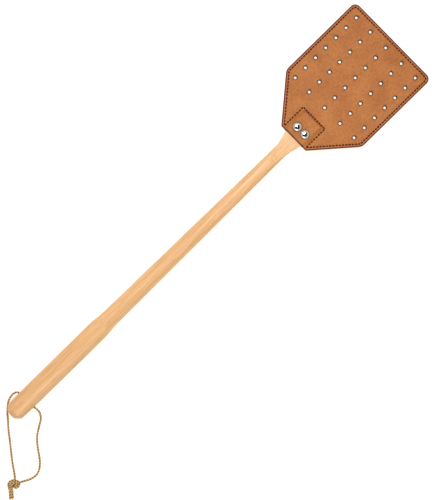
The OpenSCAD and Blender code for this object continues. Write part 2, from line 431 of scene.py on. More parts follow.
def smoothLine(points, step):
    # an even walk along the curve through the points
    points = [Vector(p) for p in points]
    padded = [points[0]] + points + [points[-1]]
    fine = []
    for a, b, c, d in zip(padded, padded[1:], padded[2:], padded[3:]):
        for k in range(24):
            t = k / 24
            fine.append(b + t * (c - a) / 2 + t * t * (a - 2.5 * b + 2 * c - d / 2)
                        + t ** 3 * (1.5 * b - 1.5 * c + (d - a) / 2))
    fine.append(points[-1])
    walked = np.concatenate([[0], np.cumsum([(q - p).length for p, q in zip(fine, fine[1:])])])
    count = max(2, round(walked[-1] / step) + 1)
    stations = np.linspace(0, walked[-1], count)
    data = np.array([tuple(p) for p in fine])
    return np.stack([np.interp(stations, walked, data[:, k]) for k in range(3)], 1)


def strandThroughKnot(leg, side):
    # the leg, then the knot route moved to one side of the pair's middle
    route = [(gripX + u, v, z) for u, v, z in leg]
    flat = [Vector(p) for p in knotRoute]
    if side < 0:
        flat = flat[1:]          # the right leg comes in lower down
    for i, p in enumerate(flat):
        along = (flat[min(i + 1, len(flat) - 1)] - flat[max(i - 1, 0)]).normalized()
        beside = along.cross(Vector((0, 0, 1))).normalized() * side * cordShape["strandGap"] / 2
        q = p + beside
        spot = Vector((gripX + knotPlace[0], knotPlace[1])) + knotAcross * q.x + knotDown * q.y
        route.append((spot.x, spot.y, max(q.z, cordShape["knotLift"])))
    line = smoothLine(route, cordShape["ringEvery"])
    inside = np.array(route[len(leg) + 1])
    return line, int(np.argmin(np.linalg.norm(line - inside, axis=1)))


def easeApart(strands, fixedCount):
    # the two strands push each other and themselves apart until none lies in another
    room = cordShape["strandGap"]
    points = np.concatenate(strands)
    sizes = [len(s) for s in strands]
    index = np.concatenate([np.arange(n) for n in sizes])
    owner = np.concatenate([np.full(n, k) for k, n in enumerate(sizes)])
    loose = np.concatenate([np.arange(n) >= fixed for n, fixed in zip(sizes, fixedCount)])
    awake = np.where(loose)[0]
    sameStrand = owner[awake][:, None] == owner[awake][None, :]
    nearAlong = np.abs(index[awake][:, None] - index[awake][None, :]) * cordShape["ringEvery"] < 1.6 * room
    skip = sameStrand & nearAlong
    for turn in range(70):
        p = points[awake]
        gap = p[:, None] - p[None, :]
        reach = np.linalg.norm(gap, axis=2) + 1e-6
        push = np.where(skip | (reach >= room), 0, (room - reach) * 0.22)
        p = p + (gap / reach[..., None] * push[..., None]).sum(1) / 2.2
        p[:, 2] = np.maximum(p[:, 2], cordShape["knotLift"])
        points[awake] = p
        for k in range(len(strands)):
            mine = np.where(owner == k)[0]
            line = points[mine]
            middle = (line[:-2] + line[2:]) / 2
            change = np.zeros_like(line)
            change[1:-1] = (middle - line[1:-1]) * 0.16
            points[mine] = line + change * loose[mine][:, None]
    return [points[owner == k] for k in range(len(strands))]


def walkFrames(line):
    # tangent and two sides at each station, turned as little as possible from one to the next
    tangents = np.gradient(line, axis=0)
    tangents /= np.linalg.norm(tangents, axis=1)[:, None]
    side = np.cross(tangents[0], (0, 0, 1.0))
    side /= np.linalg.norm(side)
    sides = []
    for t in tangents:
        side = side - t * (side @ t)
        side /= np.linalg.norm(side)
        sides.append(side)
    sides = np.array(sides)
    return tangents, sides, np.cross(tangents, sides)


def twistedTwine(line, startAt=0.0, fatter=1.0, thinEnds=False):
    # vertices, faces and the place along the fibres, for the plies round one centre line
    plies, lay, radius = cordShape["plies"], cordShape["layLength"], cordShape["plyRadius"] * fatter
    n = cordShape["plySides"]
    offset = fatter * cordShape["diameter"] / 2 - radius + cordShape["plySpread"]
    tangents, sides, ups = walkFrames(line)
    walked = startAt + np.concatenate([[0], np.cumsum(np.linalg.norm(np.diff(line, axis=0), axis=1))])
    vertices, faces, places = [], [], []
    for ply in range(plies):
        base = len(vertices)
        turn = 2 * math.pi * (walked / lay + ply / plies)
        out = sides * np.cos(turn)[:, None] + ups * np.sin(turn)[:, None]
        middle = line + out * offset
        lean = 2 * math.pi * offset / lay
        plyAlong = tangents + lean * (ups * np.cos(turn)[:, None] - sides * np.sin(turn)[:, None])
        plyAlong /= np.linalg.norm(plyAlong, axis=1)[:, None]
        across = np.cross(plyAlong, out)
        for i, c in enumerate(middle):
            r = radius * (1 + 0.13 * noise.noise(Vector((walked[i] * 0.45, ply * 9.1, 2.0))))
            if thinEnds and i == len(middle) - 1:
                r *= 0.55
            for k in range(n):
                a = 2 * math.pi * k / n
                vertices.append(c + r * (math.cos(a) * out[i] + math.sin(a) * across[i]))
                deep = (offset + r * math.cos(a)) / (offset + radius)    # 1 outside, 0 at the heart
                places.append((walked[i], a + turn[i] * 1.6 + ply * 17.0, deep))
        for i in range(len(middle) - 1):
            for k in range(n):
                a, b = base + i * n + k, base + i * n + (k + 1) % n
                faces.append((a, b, b + n, a + n))
        faces.append(tuple(base + k for k in range(n))[::-1])
        faces.append(tuple(base + (len(middle) - 1) * n + k for k in range(n)))
    return vertices, faces, places


def hairsOn(line, count, seed):
    # thin tapered fibres that leave the twine at a low angle
    rng = random.Random(seed)
    tangents, sides, ups = walkFrames(line)
    vertices, faces, places = [], [], []
    for h in range(count):
        i = rng.randrange(2, len(line) - 2)
        a = rng.uniform(0, 2 * math.pi)
        out = sides[i] * math.cos(a) + ups[i] * math.sin(a)
        length = rng.uniform(*cordShape["hairLength"])
        lean = tangents[i] * rng.choice((-1, 1)) * rng.uniform(0.7, 1.3) + out * rng.uniform(0.35, 0.9)
        lean = lean / np.linalg.norm(lean)
        bow = np.cross(lean, out) * rng.uniform(-0.35, 0.35)
        start = line[i] + out * (cordShape["diameter"] / 2 - 0.25)
        base = len(vertices)
        for k, width in enumerate(cordShape["hairRadii"]):
            t = k / 2
            c = start + lean * length * t + bow * t * t * length
            c[2] = max(c[2], 0.08)
            for m in range(3):
                b = 2 * math.pi * m / 3
                vertices.append(c + width * (math.cos(b) * np.cross(lean, out) + math.sin(b) * out))
                places.append((h * 3.7, t, 1.0))
        for k in range(2):
            for m in range(3):
                p, q = base + k * 3 + m, base + k * 3 + (m + 1) % 3
                faces.append((p, p + 3, q + 3, q))
        faces.append((base, base + 1, base + 2))
        faces.append((base + 8, base + 7, base + 6))
    return vertices, faces, places


def meshOf(name, parts, placeName):
    vertices, faces, places = [], [], []
    for v, f, p in parts:
        faces += [tuple(i + len(vertices) for i in face) for face in f]
        vertices += [tuple(np.array(c) * mm) for c in v]
        places += p
    data = bpy.data.meshes.new(name)
    data.from_pydata(vertices, [], faces)
    layer = data.attributes.new(placeName, "FLOAT_VECTOR", "POINT")
    layer.data.foreach_set("vector", np.array(places, np.float32).ravel())
    data.update()
    obj = bpy.data.objects.new(name, data)
    bpy.context.collection.objects.link(obj)
    facesOut(obj, 0.0000001)
    smoothBy(obj, 60)
    return obj


def twineMaterial():
    # waxed jute: pale bast fibres along each ply, with painted shade in the hollows where the plies meet and
    # a slight painted highlight on their outer faces
    material, tree, shader = newMaterial("waxedJuteTwine")
    place = addNode(tree, "ShaderNodeAttribute", {"attribute_name": "fibrePlace"})
    parts = addNode(tree, "ShaderNodeSeparateXYZ", links={0: (place, "Vector")})
    stretch, slow = [addNode(tree, "ShaderNodeVectorMath", {"operation": "MULTIPLY"}, {1: size},
                             {0: (place, "Vector")}) for size in ((0.7, 2.6, 0.0), (0.16, 0.0, 0.0))]
    fibres = noiseAt(tree, (stretch, 0), 1.0, 4.0, 0.7)
    patches = noiseAt(tree, (slow, 0), 1.0, 2.0)
    colours = ramp(tree, (fibres, "Fac"), (0.3, "#C78A42"), (0.7, "#FFD698"))
    shade = remap(tree, (patches, "Fac"), 0.3, 0.7, 0.7, 1.15)
    # painted shade: darker towards each ply's heart where the plies meet, a little lighter on the outer face
    # as painted highlight
    plyHollowShade = remap(tree, (parts, "Z"), 0.5, 0.92, 0.06, 1.1)
    both = pairOf(tree, "MULTIPLY", (shade, 0), (plyHollowShade, 0))
    tinted = shaded(tree, (colours, "Color"), (both, 0))
    bump = bumpFrom(tree, (fibres, "Fac"), 0.6, 0.12)
    wire(tree, shader, {"Roughness": 0.82, "Specular IOR Level": 0.3},
         {"Base Color": (tinted, 0), "Normal": (bump, 0)})
    return material


def makeCord():
    s = cordShape
    step, slack = s["ringEvery"], s["slackTwist"]
    left, leftEnd = strandThroughKnot(leftLeg, 1)
    right, rightEnd = strandThroughKnot(rightLeg, -1)
    legCounts = (leftEnd, rightEnd)
    left, right = easeApart([left, right], [count - s["looseRings"] for count in legCounts])
    knotEnds = [len(line) - round(s["tailLength"] / step) for line in (left, right)]

    knotParts, tailParts = [], []
    legs = []
    for line, legEnd, knotEnd in zip((left, right), legCounts, knotEnds):
        middle = int(np.argmin(np.abs(line[:20, 1])))       # the middle of the grip's hole
        start = legEnd - s["sharedRings"]
        legs.append(line[middle:legEnd + 1])
        knotParts.append(twistedTwine(line[start:knotEnd + 1], (start - middle) * step, slack))
        tailParts.append(twistedTwine(line[knotEnd - 1:], (knotEnd - 1 - middle) * step, slack, True))
        tailParts.append(hairsOn(line[knotEnd:], s["tailHairs"], knotEnd))
    knotParts.append(hairsOn(left[legCounts[0]:knotEnds[0]], s["knotHairs"], 5))

    # one line out along a leg, through the heart of the knot and back along the other leg
    heart = (legs[0][-1] + legs[1][-1]) / 2
    link = smoothLine([tuple(legs[0][-1]), tuple(heart), tuple(legs[1][-1])], step)
    around = np.concatenate([legs[0], link[1:-1], legs[1][::-1]])
    before, after = s["smoothReach"]
    first, last = len(legs[0]) - before, len(legs[0]) + len(link) + after
    for turn in range(s["smoothTurns"]):
        between = (around[first - 1:last - 1] + around[first + 1:last + 1]) / 2
        around[first:last] += (between - around[first:last]) / 2
    loopParts = [twistedTwine(around), hairsOn(around, s["hairs"], 7)]

    material = twineMaterial()
    loop = meshOf("hangingCord", loopParts, "fibrePlace")
    knot = meshOf("overhandKnot", knotParts, "fibrePlace")
    tails = meshOf("cordTails", tailParts, "fibrePlace")
    for piece, node in ((loop, "cord_loop"), (knot, "cord_knot"), (tails, "cord_tails")):
        piece.data.materials.append(material)
        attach(piece, "handle")
        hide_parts(node)


makeCord()


# turned beech handle

handleShape = {
    "gripLength": 115, "shoulderLength": 23,            # mm, as all the sizes here
    "bevelLength": 5, "bevelDepth": 5,
    "shaftD": 17.6, "waistD": 13.6, "waistLength": 10,
    "flareLength": 20, "flarePastEdge": 2,
    "tongueT": 4.5, "tongueCorner": 5,
    "millLength": 33, "millGap": 2, "millEntry": 0.3,
    "cordHoleAt": 20.5, "cordHoleD": 4,
    "edgeRound": 0.45,
}


def handleOutline():
    s = handleShape
    gripR, shaftR, waistR = gripD / 2, s["shaftD"] / 2, s["waistD"] / 2
    tongueR = (handleHigh.y - handleLow.y) / 2
    length = handleHigh.x - gripX
    waistEnd = neckX - gripX + s["flarePastEdge"] - s["flareLength"]
    points = [(gripR - s["bevelDepth"] - 0.5, 0), (gripR - s["bevelDepth"], 0.12),
              (gripR - s["bevelDepth"] + 0.4, 0.45)]
    points += [(gripR - 1.3, s["bevelLength"] - 1.2), (gripR - 0.75, s["bevelLength"] - 0.3),
               (gripR - 0.5, s["bevelLength"] + 0.8), (gripR - 0.35, s["bevelLength"] + 3),
               (gripR - 0.12, s["bevelLength"] + 10)]
    points += [(gripR, 30), (gripR, 60), (gripR, 90)]
    for k in range(13):
        t = k / 12
        points.append((gripR + (shaftR - gripR) * ease(t), s["gripLength"] + s["shoulderLength"] * t))
    start = s["gripLength"] + s["shoulderLength"]
    waistStart = waistEnd - s["waistLength"]
    for k in range(1, 5):
        points.append((shaftR + (waistR - shaftR) * k / 4, start + (waistStart - start) * k / 4))
    for k in range(21):
        t = k / 20
        points.append((waistR + (tongueR - waistR) * ease(t), waistEnd + s["flareLength"] * t))
    corner = s["tongueCorner"]
    for k in range(1, 9):
        a = math.radians(90 * k / 8)
        points.append((tongueR - corner + corner * math.cos(a), length - corner + corner * math.sin(a)))
    return points


def flatCutter(side):
    # the milling cutter's sweep: a long shallow run-out, then level to the tongue's tip
    s = handleShape
    millEnd = neckX - s["millGap"]
    millStart = millEnd - s["millLength"]
    far = handleHigh.x + 2
    bpy.ops.mesh.primitive_grid_add(x_subdivisions=60, y_subdivisions=1, size=1,
                                    location=((millStart + far) / 2 * mm, 0, midZ * mm))
    cutter = bpy.context.object
    cutter.scale = ((far - millStart) * mm, 40 * mm, 1)
    settle(cutter)
    half = s["tongueT"] / 2
    for vertex in cutter.data.vertices:
        t = min(max((vertex.co.x / mm - millStart) / s["millLength"], 0), 1)
        rise = half + (s["waistD"] / 2 + s["millEntry"] - half) * (1 - t) ** 2
        vertex.co.z = (midZ + side * rise) * mm
    thick = cutter.modifiers.new("thick", "SOLIDIFY")
    thick.thickness = 16 * mm
    thick.offset = side
    applyAll(cutter)
    facesOut(cutter)
    return cutter


def woodMaterial():
    # beech, turned and fine sanded under a thin clear satin coat: pale straw with short dark flecks
    material, tree, shader = newMaterial("beechClearSatin")
    place = addNode(tree, "ShaderNodeTexCoord")

    def grain(along, across, detail):
        # along and across are the size of the pattern in mm
        scaled = addNode(tree, "ShaderNodeMapping",
                         inputs={"Scale": (1 / (along * mm), 1 / (across * mm), 1 / (across * mm))},
                         links={"Vector": (place, "Object")})
        return noiseAt(tree, (scaled, 0), 1.0, detail, 0.6, 0.25)

    rings = grain(210, 7.0, 2.0)
    streaks = grain(26, 1.3, 5.0)           # pores are finer than this; drawn coarse enough to show
    flecks = grain(4.0, 0.9, 2.0)
    base = ramp(tree, (rings, "Fac"), (0.34, "#DDA76D"), (0.68, "#ECB983"))
    lines = remap(tree, (streaks, "Fac"), 0.36, 0.6, 0.84, 1.04)
    darker = shaded(tree, (base, "Color"), (lines, 0))
    fleckMask = remap(tree, (flecks, "Fac"), 0.62, 0.72, 0.0, 0.42)
    flecked = paint(tree, (fleckMask, 0), "#BE824C", (darker, 0))
    bump = bumpFrom(tree, (streaks, "Fac"), 0.25, 0.08)
    wire(tree, shader, {"Roughness": 0.46, "Coat Weight": 0.12, "Coat Roughness": 0.3},
         {"Base Color": (flecked, "Result"), "Normal": (bump, 0)})
    return material


def makeHandle():
    s = handleShape
    handle = turned(handleOutline(), 72)
    handle.rotation_euler = (0, math.radians(90), 0)
    handle.location = (gripX * mm, 0, midZ * mm)
    settle(handle)
    for side in (1, -1):
        combine(handle, flatCutter(side))
    combine(handle, rod(s["cordHoleD"] / 2, 2 * gripD, gripX + s["cordHoleAt"], 0, midZ,
                        turn=(math.radians(90), 0, 0)))
    softenEdges(handle, s["edgeRound"], 32)
    facesOut(handle)
    nameIt(handle, "beechHandle")
    smoothBy(handle, 38)
    handle.data.materials.append(woodMaterial())
    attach(handle, "handle")
    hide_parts("handle")
    print("handle turned and milled")


makeHandle()


# leather blade: two sheets, punched, sewn and cut in zones

bladeShape = {
    "neckWidth": 34, "chamferLength": 41.8, "cornerRadius": 6,      # mm, as all the sizes here
    "cornerSegments": 7, "shoulderTrim": 3,
    "throatD": 2.9, "holeSides": 18, "innerColumn": 21.5, "outerColumn": 41,
    "seamMargin": 2.9, "pocketWidth": 30, "pocketLength": 28,
    "channelHalf": 0.65, "channelDepth": 0.3,
    "pocketRise": 2.3, "pocketFlatHalf": 9.9, "pocketFootHalf": 13.9,
    "pocketFlatEnd": 25.5, "pocketFootEnd": 27.5,
    "edgeRound": 0.4, "darkEdgeBand": 1.5, "holeRound": 0.85, "zoneSlices": 7,
    "rivetHoleD": 3.2, "rivetHoleSides": 16, "neckCorner": 0.8,
    "swell": 0.14,              # how far the leather stands up between the seam and the field
    "swellRise": 1.4, "swellLevel": 4, "swellFall": 9,      # its rise, level stretch and fall
}
halfNeck = bladeShape["neckWidth"] / 2
chamferSlope = (halfWidth - halfNeck) / bladeShape["chamferLength"]
chamferStretch = math.hypot(1, chamferSlope)
shoulderRadius = bladeShape["shoulderTrim"] / math.tan(math.atan(chamferSlope) / 2)
bladeLength = farX - neckX


def seamPath():
    # the closed line of the seam, as points from the neck edge and the middle, in mm
    s = bladeShape
    side = halfWidth - s["seamMargin"]
    far = bladeLength - s["seamMargin"]
    neckY = halfNeck - s["seamMargin"] * chamferStretch
    pocket = s["pocketWidth"] / 2
    turnX = (pocket - neckY) / chamferSlope
    sideX = (side - neckY) / chamferSlope
    r = s["cornerRadius"] - s["seamMargin"]
    runs = []
    outer = [(turnX, pocket), (sideX, side)]
    for k in range(7):
        a = math.radians(90 * k / 6)
        outer.append((far - r + r * math.sin(a), side - r + r * math.cos(a)))
    outer += [(x, -y) for x, y in outer[::-1]]
    runs.append(outer)
    runs.append([(turnX, -pocket), (s["pocketLength"], -pocket)])
    runs.append([(s["pocketLength"], -pocket), (s["pocketLength"], pocket)])
    runs.append([(s["pocketLength"], pocket), (turnX, pocket)])
    return runs


seamRuns = seamPath()
seamSegments = [(np.array(p), np.array(q)) for run in seamRuns for p, q in zip(run, run[1:])]


def seamDistance(x, y):
    point = np.array((x, y))
    best = 1e9
    for p, q in seamSegments:
        d = q - p
        t = min(max(((point - p) @ d) / (d @ d), 0), 1)
        best = min(best, float(np.linalg.norm(point - p - t * d)))
    return best


def pocketRise(x, y):
    s = bladeShape
    across = ease((s["pocketFootHalf"] - abs(y)) / (s["pocketFootHalf"] - s["pocketFlatHalf"]))
    along = ease((s["pocketFootEnd"] - x) / (s["pocketFootEnd"] - s["pocketFlatEnd"]))
    return s["pocketRise"] * across * along


def insideEdge(x, y):
    # distance in from the sides, the chamfers, the far edge and the rounded corners
    s = bladeShape
    chamfer = (halfNeck + chamferSlope * x - abs(y)) / chamferStretch
    nearest = min(halfWidth - abs(y), bladeLength - x, chamfer)
    r = s["cornerRadius"]
    offX, offY = x - (bladeLength - r), abs(y) - (halfWidth - r)
    if offX > 0 and offY > 0:
        return r - math.hypot(offX, offY)
    r = shoulderRadius
    offX, offY = x - (s["chamferLength"] + s["shoulderTrim"]), abs(y) - (halfWidth - r)
    if offX < 0 and offY > 0 and -offX < chamferSlope * offY:
        return r - math.hypot(offX, offY)
    return nearest


def flatSheet():
    # the upper sheet, flat on the middle plane, with its outline, seam channel and punched holes
    s = bladeShape
    bpy.ops.mesh.primitive_cube_add(
        size=1, location=((neckX + farX) / 2 * mm, 0, (midZ + leatherT / 2) * mm))
    sheet = bpy.context.object
    sheet.scale = (bladeLength * mm, 2 * halfWidth * mm, leatherT * mm)
    settle(sheet)
    editAll(sheet)
    for side in (1, -1):
        bisectAll((neckX * mm, side * halfNeck * mm, midZ * mm), (-chamferSlope, side, 0),
                  use_fill=True, clear_outer=True)
    bevelUpright(sheet, lambda x, y: x > farX - 1, s["cornerRadius"], s["cornerSegments"])
    bevelUpright(sheet, lambda x, y: neckX + 30 < x < neckX + 50 and abs(y) > halfWidth - 1,
                 s["shoulderTrim"], 4)

    # the channel's three lines, and the swell beside it
    clearSelection(sheet, "FACE")
    for face in sheet.data.polygons:
        face.select = face.normal.z > 0.9
    openMesh(sheet)
    for step in (s["darkEdgeBand"], s["seamMargin"] - s["channelHalf"] - s["darkEdgeBand"], s["channelHalf"],
                 s["channelHalf"], s["swellRise"]):
        bpy.ops.mesh.inset(thickness=step * mm, use_even_offset=True)
    objectMode()
    bevelUpright(sheet, lambda x, y: x < neckX + 0.1 and abs(y) > halfNeck - 0.1, s["neckCorner"], 3)
    softenEdges(sheet, s["edgeRound"], 60)

    # punched holes, with their rims pressed in
    punches = []
    for x in rows:
        for y in (-s["outerColumn"], -s["innerColumn"], 0, s["innerColumn"], s["outerColumn"]):
            punches.append((x, y, s["throatD"] / 2, s["holeSides"]))
    for side in (1, -1):
        punches.append((rivetX, side * rivetY, s["rivetHoleD"] / 2, s["rivetHoleSides"]))
    made = []
    for x, y, radius, sides in punches:
        bpy.ops.mesh.primitive_cylinder_add(vertices=sides, radius=radius * mm, depth=12 * mm,
                                            location=(x * mm, y * mm, midZ * mm))
        made.append(bpy.context.object)
    drills = joinAll(made, "punches")
    settle(drills)
    combine(sheet, drills)
    pressRims(sheet, punches)
    return sheet


def pressRims(sheet, punches):
    # bevels the mouth of each hole, on the outer face only
    places = np.array([(x, y, radius) for x, y, radius, sides in punches])
    clearSelection(sheet, "EDGE")
    points = np.array([tuple(v.co / mm) for v in sheet.data.vertices])
    reach = np.abs(np.hypot(points[:, None, 0] - places[None, :, 0], points[:, None, 1] - places[None, :, 1])
                   - places[None, :, 2])
    onMouth = (reach.min(1) < 0.05) & (points[:, 2] > midZ + leatherT - 0.01)
    for edge in sheet.data.edges:
        a, b = edge.vertices
        short = np.linalg.norm(points[a] - points[b]) < 1.0
        edge.select = bool(onMouth[a] and onMouth[b] and short)
    openMesh(sheet)
    bpy.ops.mesh.bevel(offset=bladeShape["holeRound"] * mm, segments=3, affect="EDGES", clamp_overlap=True)
    objectMode()


def bevelUpright(obj, wanted, radius, segments):
    # rounds the upright edges at the corners that are wanted
    clearSelection(obj, "EDGE")
    points = obj.data.vertices
    for edge in obj.data.edges:
        a, b = (points[i].co / mm for i in edge.vertices)
        upright = abs(a.z - b.z) > 1 and abs(a.x - b.x) < 0.01 and abs(a.y - b.y) < 0.01
        edge.select = upright and wanted(a.x, a.y)
    openMesh(obj)
    bpy.ops.mesh.bevel(offset=radius * mm, segments=segments, affect="EDGES")
    objectMode()


def sliceLines():
    # where the sheet gets cross lines, close together between the hole rows, and where it rises over the
    # tongue
    s = bladeShape
    acrossX = [0.9 + 1.45 * k for k in range(17)]
    acrossX += [s["pocketFlatEnd"] + 0.4 * k for k in range(6)]
    acrossX += [s["pocketLength"] + d for d in (-s["channelHalf"], 0, s["channelHalf"])]
    acrossX += [zoneEdges[0] - neckX + rowPitch * k / s["zoneSlices"]
                for k in range(s["zoneSlices"] * len(rows) + 1)]
    acrossX += [bladeLength - 5, 31, 34]
    half = [s["pocketFlatHalf"] + 0.45 * k - 0.3 for k in range(8)]
    half += [s["pocketWidth"] / 2 + d for d in (-s["channelHalf"], 0, s["channelHalf"])]
    half += [2.6, 6.4, 18.9, 24.1, 29, 34, 38.4, 43.6, 47]
    return sorted(set(round(x, 3) for x in acrossX)), sorted(half)


def shapeSheet(sheet):
    xs, ys = sliceLines()
    editAll(sheet)
    for x in xs:
        bisectAll(((neckX + x) * mm, 0, 0), (1, 0, 0))
    for y in ys + [-y for y in ys]:
        bisectAll((0, y * mm, 0), (0, 1, 0))
    objectMode()
    s = bladeShape
    for vertex in sheet.data.vertices:
        x, y, z = vertex.co.x / mm - neckX, vertex.co.y / mm, vertex.co.z / mm - midZ
        rise = pocketRise(x, y)
        near = seamDistance(x, y)
        onTop = ease((z - 0.5 * leatherT) / (0.5 * leatherT))
        channel = -s["channelDepth"] * max(0, 1 - near / s["channelHalf"])
        swell = 0
        if insideEdge(x, y) > s["seamMargin"]:
            swell = s["swell"] * ease((near - s["channelHalf"]) / s["swellRise"])
        swell *= 1 - ease((near - s["swellLevel"]) / s["swellFall"])
        vertex.co.z += (rise + onTop * (channel + swell)) * mm
    sheet.data.update()
    facesOut(sheet, 0.000001)
    smoothBy(sheet, 40)


def markSheet(sheet):
    # place in mm, and how far each point is wall, dark edge band, hole wall (painted shade) or sewn margin
    s = bladeShape
    data = sheet.data
    count = len(data.vertices)
    places = np.zeros((count, 3), np.float32)
    tones = np.zeros((count, 3), np.float32)
    seams = np.zeros(count, np.float32)
    columns = (-s["outerColumn"], -s["innerColumn"], 0, s["innerColumn"], s["outerColumn"])
    for i, vertex in enumerate(data.vertices):
        x, y, z = vertex.co.x / mm - neckX, vertex.co.y / mm, vertex.co.z / mm - midZ
        places[i] = (x, y, z)
        inside = min(insideEdge(x, y), x)
        nearHole = min((math.hypot(x + neckX - rx, y - cy) for rx in rows for cy in columns))
        mouth = s["throatD"] / 2 + s["holeRound"]
        # painted shade: the mask for the dark hole mouths and walls
        if nearHole < mouth + 0.1:
            tones[i, 1] = ease((mouth + 0.06 - nearHole) / 0.12)
        elif inside < s["darkEdgeBand"]:
            tones[i, 0] = min(max((s["darkEdgeBand"] - inside) / (s["darkEdgeBand"] - s["edgeRound"]), 0), 1)
        seams[i] = max(0, 1 - seamDistance(x, y) / s["channelHalf"])
        tones[i, 2] = ease((s["seamMargin"] + 0.3 - insideEdge(x, y)) / 0.8)
    data.attributes.new("leatherPlace", "FLOAT_VECTOR", "POINT").data.foreach_set("vector", places.ravel())
    data.attributes.new("leatherTone", "FLOAT_VECTOR", "POINT").data.foreach_set("vector", tones.ravel())
    data.attributes.new("seamTone", "FLOAT", "POINT").data.foreach_set("value", seams)


def leatherMaterial():
    # vegetable-tanned cowhide, glazed on the grain side: warm tan with fine pores and soft creases
    material, tree, shader = newMaterial("tanCowhideGrain")
    place = addNode(tree, "ShaderNodeAttribute", {"attribute_name": "leatherPlace"})
    tone = addNode(tree, "ShaderNodeAttribute", {"attribute_name": "leatherTone"})
    tones = addNode(tree, "ShaderNodeSeparateXYZ", links={0: (tone, "Vector")})
    clouds = noiseAt(tree, (place, "Vector"), 1 / 26, 4.0, 0.55)
    mottle = noiseAt(tree, (place, "Vector"), 1 / 2.4, 5.0, 0.65)
    cells = addNode(tree, "ShaderNodeTexVoronoi", {"feature": "DISTANCE_TO_EDGE"},
                    inputs={"Scale": 1 / 0.9, "Randomness": 1.0}, links={"Vector": (place, "Vector")})
    field = ramp(tree, (clouds, "Fac"), (0.3, "#A4602C"), (0.7, "#B7733B"))
    speckle = remap(tree, (mottle, "Fac"), 0.3, 0.7, 0.78, 1.18)
    skin = shaded(tree, (field, "Color"), (speckle, 0))
    margin = addNode(tree, "ShaderNodeMath", {"operation": "MULTIPLY"}, {1: 0.5}, {0: (tones, "Z")})
    sewn = paint(tree, (margin, 0), "#AE5A3C", (skin, 0))
    seam = addNode(tree, "ShaderNodeAttribute", {"attribute_name": "seamTone"})
    # painted shade: the leather is darker along the seam channel's groove
    channelShade = remap(tree, (seam, "Fac"), 0.0, 0.8, 0.0, 0.35)
    channel = paint(tree, (channelShade, 0), "#8A3E1C", (sewn, "Result"))
    # a dark band along the outer edge of the top face
    rimMask = remap(tree, (tones, "X"), 0.1, 0.55, 0.0, 0.94)
    rim = paint(tree, (rimMask, 0), "#481A0B", (channel, "Result"))
    depth = addNode(tree, "ShaderNodeSeparateXYZ", links={0: (place, "Vector")})
    below = remap(tree, (depth, "Z"), 1.2, 1.55, 1.0, 0.0)
    atEdge = addNode(tree, "ShaderNodeMath", {"operation": "GREATER_THAN"}, {1: 0.97}, {0: (tones, "X")})
    wallMask = pairOf(tree, "MULTIPLY", (below, 0), (atEdge, 0))
    wall = paint(tree, (wallMask, 0), "#D09A62", (rim, "Result"))
    # painted shade: the hole mouths and walls are painted dark brown
    holeWallShade = paint(tree, (tones, "Y"), "#35120A", (wall, "Result"))
    capTop = leatherT + bladeShape["pocketRise"]
    near = [addNode(tree, "ShaderNodeVectorMath", {"operation": "DISTANCE"},
                    {1: (rivetX - neckX, side * rivetY, capTop)}, {0: (place, "Vector")})
            for side in (1, -1)]
    nearest = pairOf(tree, "MINIMUM", (near[0], "Value"), (near[1], "Value"))
    # painted contact shadow: a darker ring in the leather round each cap
    capContactShadow = remap(tree, (nearest, 0), capD / 2, capD / 2 + 0.9, 0.3, 1.0)
    capShadowed = shaded(tree, (holeWallShade, "Result"), (capContactShadow, 0))
    pores = remap(tree, (cells, "Distance"), 0.0, 0.16, 0.0, 1.0)
    height = pairOf(tree, "ADD", (pores, 0), (mottle, "Fac"))
    bump = bumpFrom(tree, (height, 0), 0.45, 0.09)
    gloss = remap(tree, (mottle, "Fac"), 0.3, 0.7, 0.5, 0.66)
    wire(tree, shader, {"Specular IOR Level": 0.25},
         {"Base Color": (capShadowed, 0), "Normal": (bump, 0), "Roughness": (gloss, 0)})
    return material


def cutZone(sheet, name, xFrom, xTo):
    # the stretch of the sheet between two rows of holes, closed at both cuts
    zone = copyOf(sheet, name)
    for x, direction in ((xFrom, -1), (xTo, 1)):
        if x is not None:
            editAll(zone)
            bisectAll((x * mm, 0, 0), (direction, 0, 0), use_fill=True, clear_outer=True,
                      threshold=0.00001)
            objectMode()
    return zone


def zoneList():
    # name, start and end of each stretch, and what it follows: one body, or two across a hinge
    bodies = ["handle"] + ["blade_%d" % (i + 1) for i in range(len(rows))]
    zones = [("Neck", None, zoneEdges[0], ("handle",), "_neck")]
    for i in range(len(rows)):
        zones.append(("Zone%d" % (i + 1), zoneEdges[i], zoneEdges[i + 1], (bodies[i], bodies[i + 1]),
                      "_%d" % (i + 1)))
    zones.append(("Tip", zoneEdges[-1], None, (bodies[-1],), None))
    return zones


def followZone(piece, zone, cadName):
    name, xFrom, xTo, bodies, ending = zone
    if len(bodies) == 1:
        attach(piece, bodies[0])
    else:
        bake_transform(piece)
    if ending:
        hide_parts(cadName + ending)


def mirrored(obj, name):
    twin = copyOf(obj, name)
    for vertex in twin.data.vertices:
        vertex.co.z = 2 * midZ * mm - vertex.co.z
    editAll(twin)
    bpy.ops.mesh.flip_normals()
    objectMode()
    return twin


def makeBlade():
    upper = flatSheet()
    shapeSheet(upper)
    nameIt(upper, "wholeSheet")
    markSheet(upper)
    upper.data.materials.append(leatherMaterial())
    lower = mirrored(upper, "wholeBackSheet")
    for whole, label, cadName in ((upper, "frontSheet", "front_sheet"), (lower, "backSheet", "back_sheet")):
        for zone in zoneList():
            piece = cutZone(whole, label + zone[0], zone[1], zone[2])
            smoothBy(piece, 40)
            followZone(piece, zone, cadName)
        bpy.data.objects.remove(whole)
    print("leather cut, punched and shaped")


makeBlade()


# lockstitch thread

threadShape = {
    "diameter": 1.45,           # mm
    "pitch": 3.15,              # mm from one needle hole to the next
    "length": 2.2,              # mm of thread that shows in each stitch
    "dip": 0.85,                # mm that each end goes down into its hole
    "lie": 0.02,                # mm from the leather's face up to the thread's middle
}


